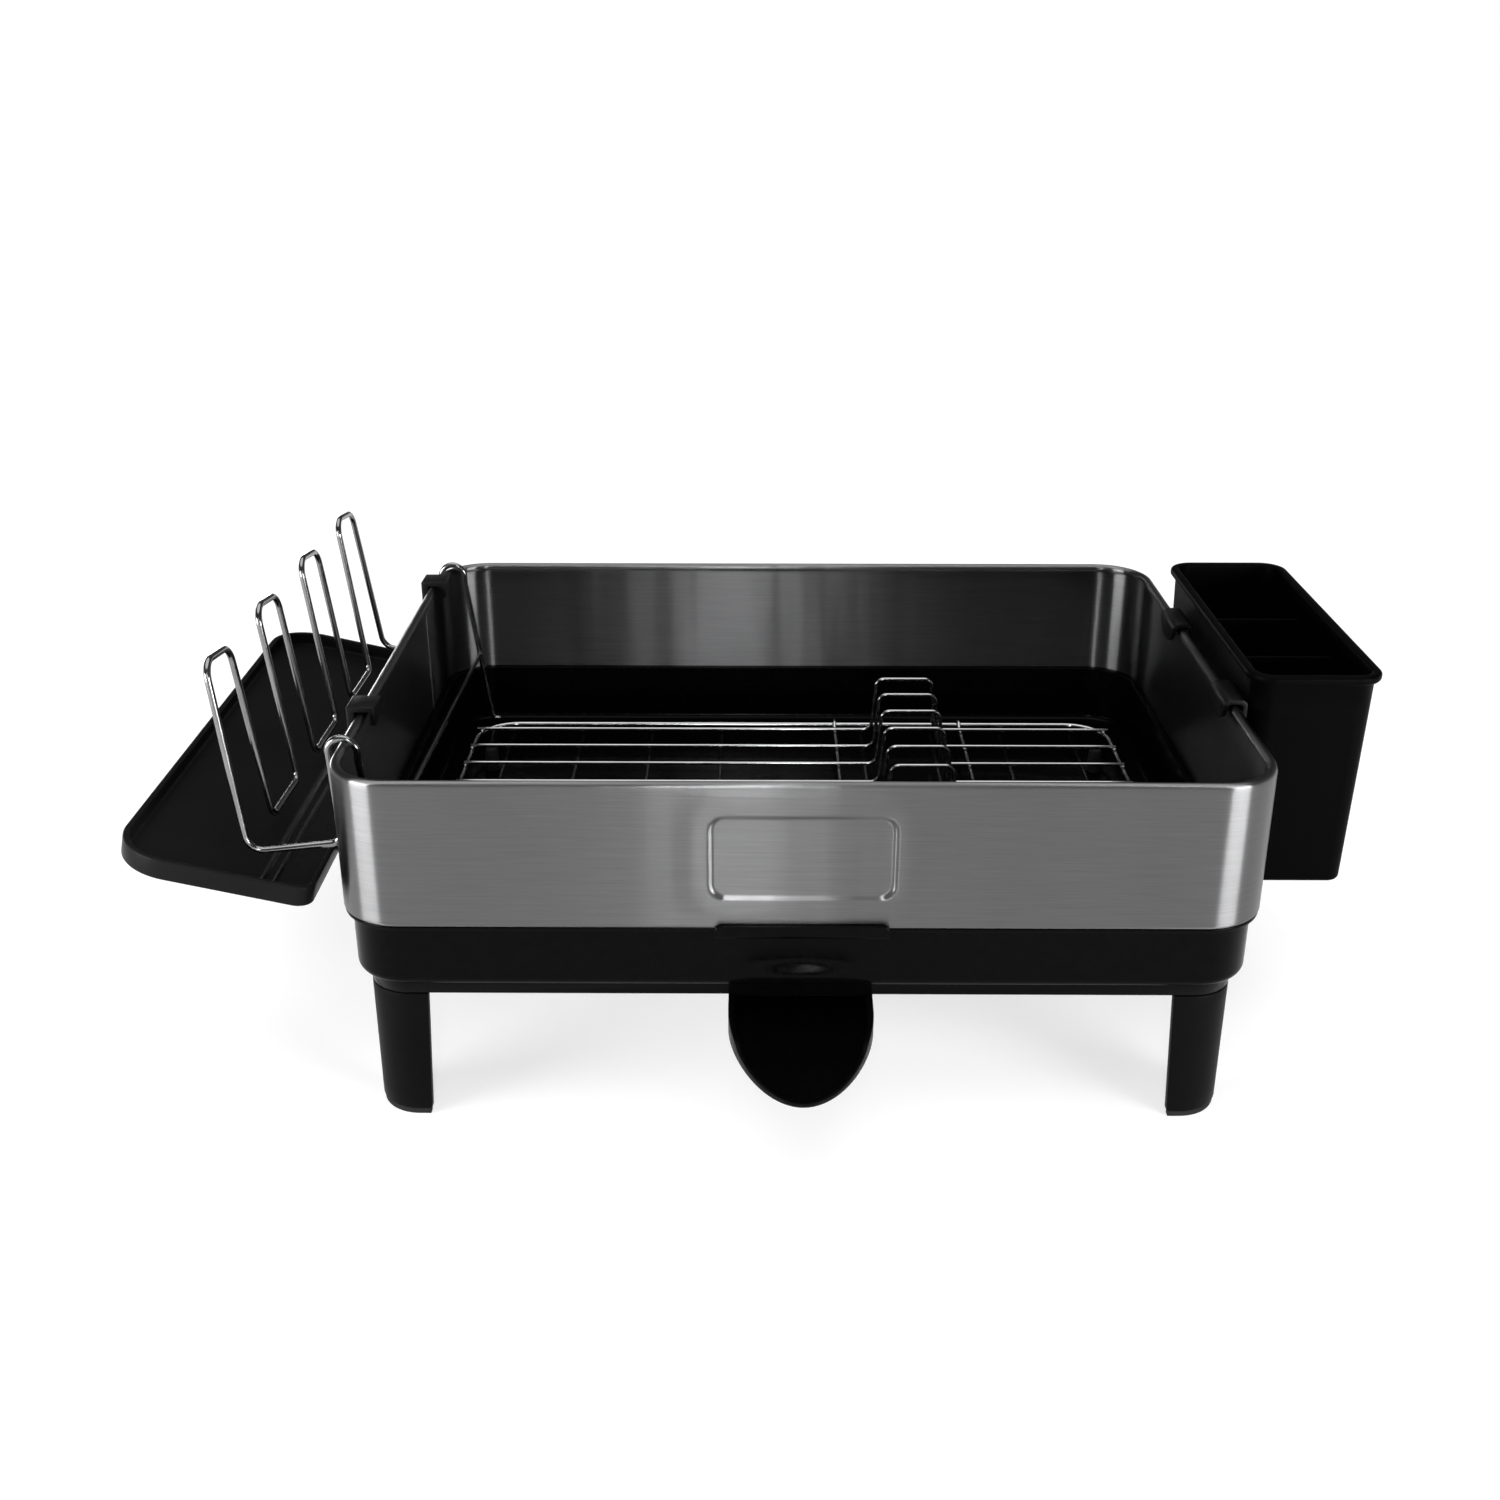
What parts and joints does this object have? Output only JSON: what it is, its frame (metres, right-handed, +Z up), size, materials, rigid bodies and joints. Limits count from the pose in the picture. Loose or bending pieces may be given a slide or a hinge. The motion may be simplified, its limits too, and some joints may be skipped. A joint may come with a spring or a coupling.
{
  "type": "dish drying rack",
  "caption": "Steel-framed dish drying rack on a footed drip tray, with a swivel drain spout, wire plate rack, hanging cup holder over a sloping side tray, and utensil holder.",
  "frame": {"origin": "centre of the whole rack's footprint, on the counter under the rubber pads", "axes": "+X along the length, from the cup holder's end to the utensil holder's end; +Y from the drain spout's side to the back; +Z up"},
  "size_m": [0.6334, 0.4116, 0.2316],
  "materials": {
    "frame_steel": "brushed along the length, satin",
    "tray_black": "smooth moulded, semi-gloss",
    "spout_black": "smooth moulded, semi-gloss",
    "leg_black": "fine moulded grain",
    "pad_rubber": "soft matt",
    "rack_chrome": "bright plated wire",
    "cup_holder_chrome": "bright plated wire",
    "side_tray_black": "matt moulded",
    "clip_black": "matt moulded",
    "holder_black": "matt moulded"
  },
  "bodies": {
    "tray": {"drip_tray": "tray_black", "leg_back_right": "leg_black", "leg_back_left": "leg_black", "leg_front_left": "leg_black", "leg_front_right": "leg_black", "leg_pad_back_right": "pad_rubber", "leg_pad_back_left": "pad_rubber", "leg_pad_front_left": "pad_rubber", "leg_pad_front_right": "pad_rubber"},
    "spout": {"spout": "spout_black", "spout_clip_ring": "spout_black"},
    "frame": {"steel_frame": "frame_steel"},
    "rack": {"rack_perimeter": "rack_chrome", "rack_divider_1": "rack_chrome", "rack_divider_2": "rack_chrome", "rack_divider_3": "rack_chrome", "rack_divider_4": "rack_chrome", "rack_divider_5": "rack_chrome", "rack_divider_6": "rack_chrome", "rack_divider_7": "rack_chrome", "rack_divider_8": "rack_chrome", "rack_divider_9": "rack_chrome", "rack_cross_wire_1": "rack_chrome", "rack_cross_wire_2": "rack_chrome", "rack_foot_back_right": "pad_rubber", "rack_foot_back_left": "pad_rubber", "rack_foot_front_left": "pad_rubber", "rack_foot_front_right": "pad_rubber"},
    "side_tray": {"side_tray": "side_tray_black", "side_tray_clip_1": "clip_black", "side_tray_clip_2": "clip_black"},
    "cup_holder": {"cup_hook_1": "cup_holder_chrome", "cup_hook_2": "cup_holder_chrome", "cup_tine_1": "cup_holder_chrome", "cup_tine_2": "cup_holder_chrome", "cup_tine_3": "cup_holder_chrome", "cup_tine_4": "cup_holder_chrome", "cup_bar": "cup_holder_chrome"},
    "utensil_holder": {"utensil_holder": "holder_black", "utensil_divider_1": "holder_black", "utensil_divider_2": "holder_black", "utensil_hook_1": "clip_black", "utensil_hook_2": "clip_black"}
  },
  "joints": [
    {"name": "spout_swivel", "type": "hinge", "parent": "tray", "child": "spout", "pos_m": [0.02124, -0.10075, 0.071], "axis": [0, 0, 1], "range_deg": [-90, 90]},
    {"name": "frame_lift", "type": "slide", "parent": "tray", "child": "frame", "axis": [0, 0, 1], "range_m": [0, 0.12]},
    {"name": "rack_lift", "type": "slide", "parent": "tray", "child": "rack", "axis": [0, 0, 1], "range_m": [0, 0.15]},
    {"name": "side_tray_lift", "type": "slide", "parent": "frame", "child": "side_tray", "axis": [0, 0, 1], "range_m": [0, 0.1]},
    {"name": "cup_holder_lift", "type": "slide", "parent": "side_tray", "child": "cup_holder", "axis": [0, 0, 1], "range_m": [0, 0.13]},
    {"name": "utensil_lift", "type": "slide", "parent": "frame", "child": "utensil_holder", "axis": [0, 0, 1], "range_m": [0, 0.1]}
  ]
}
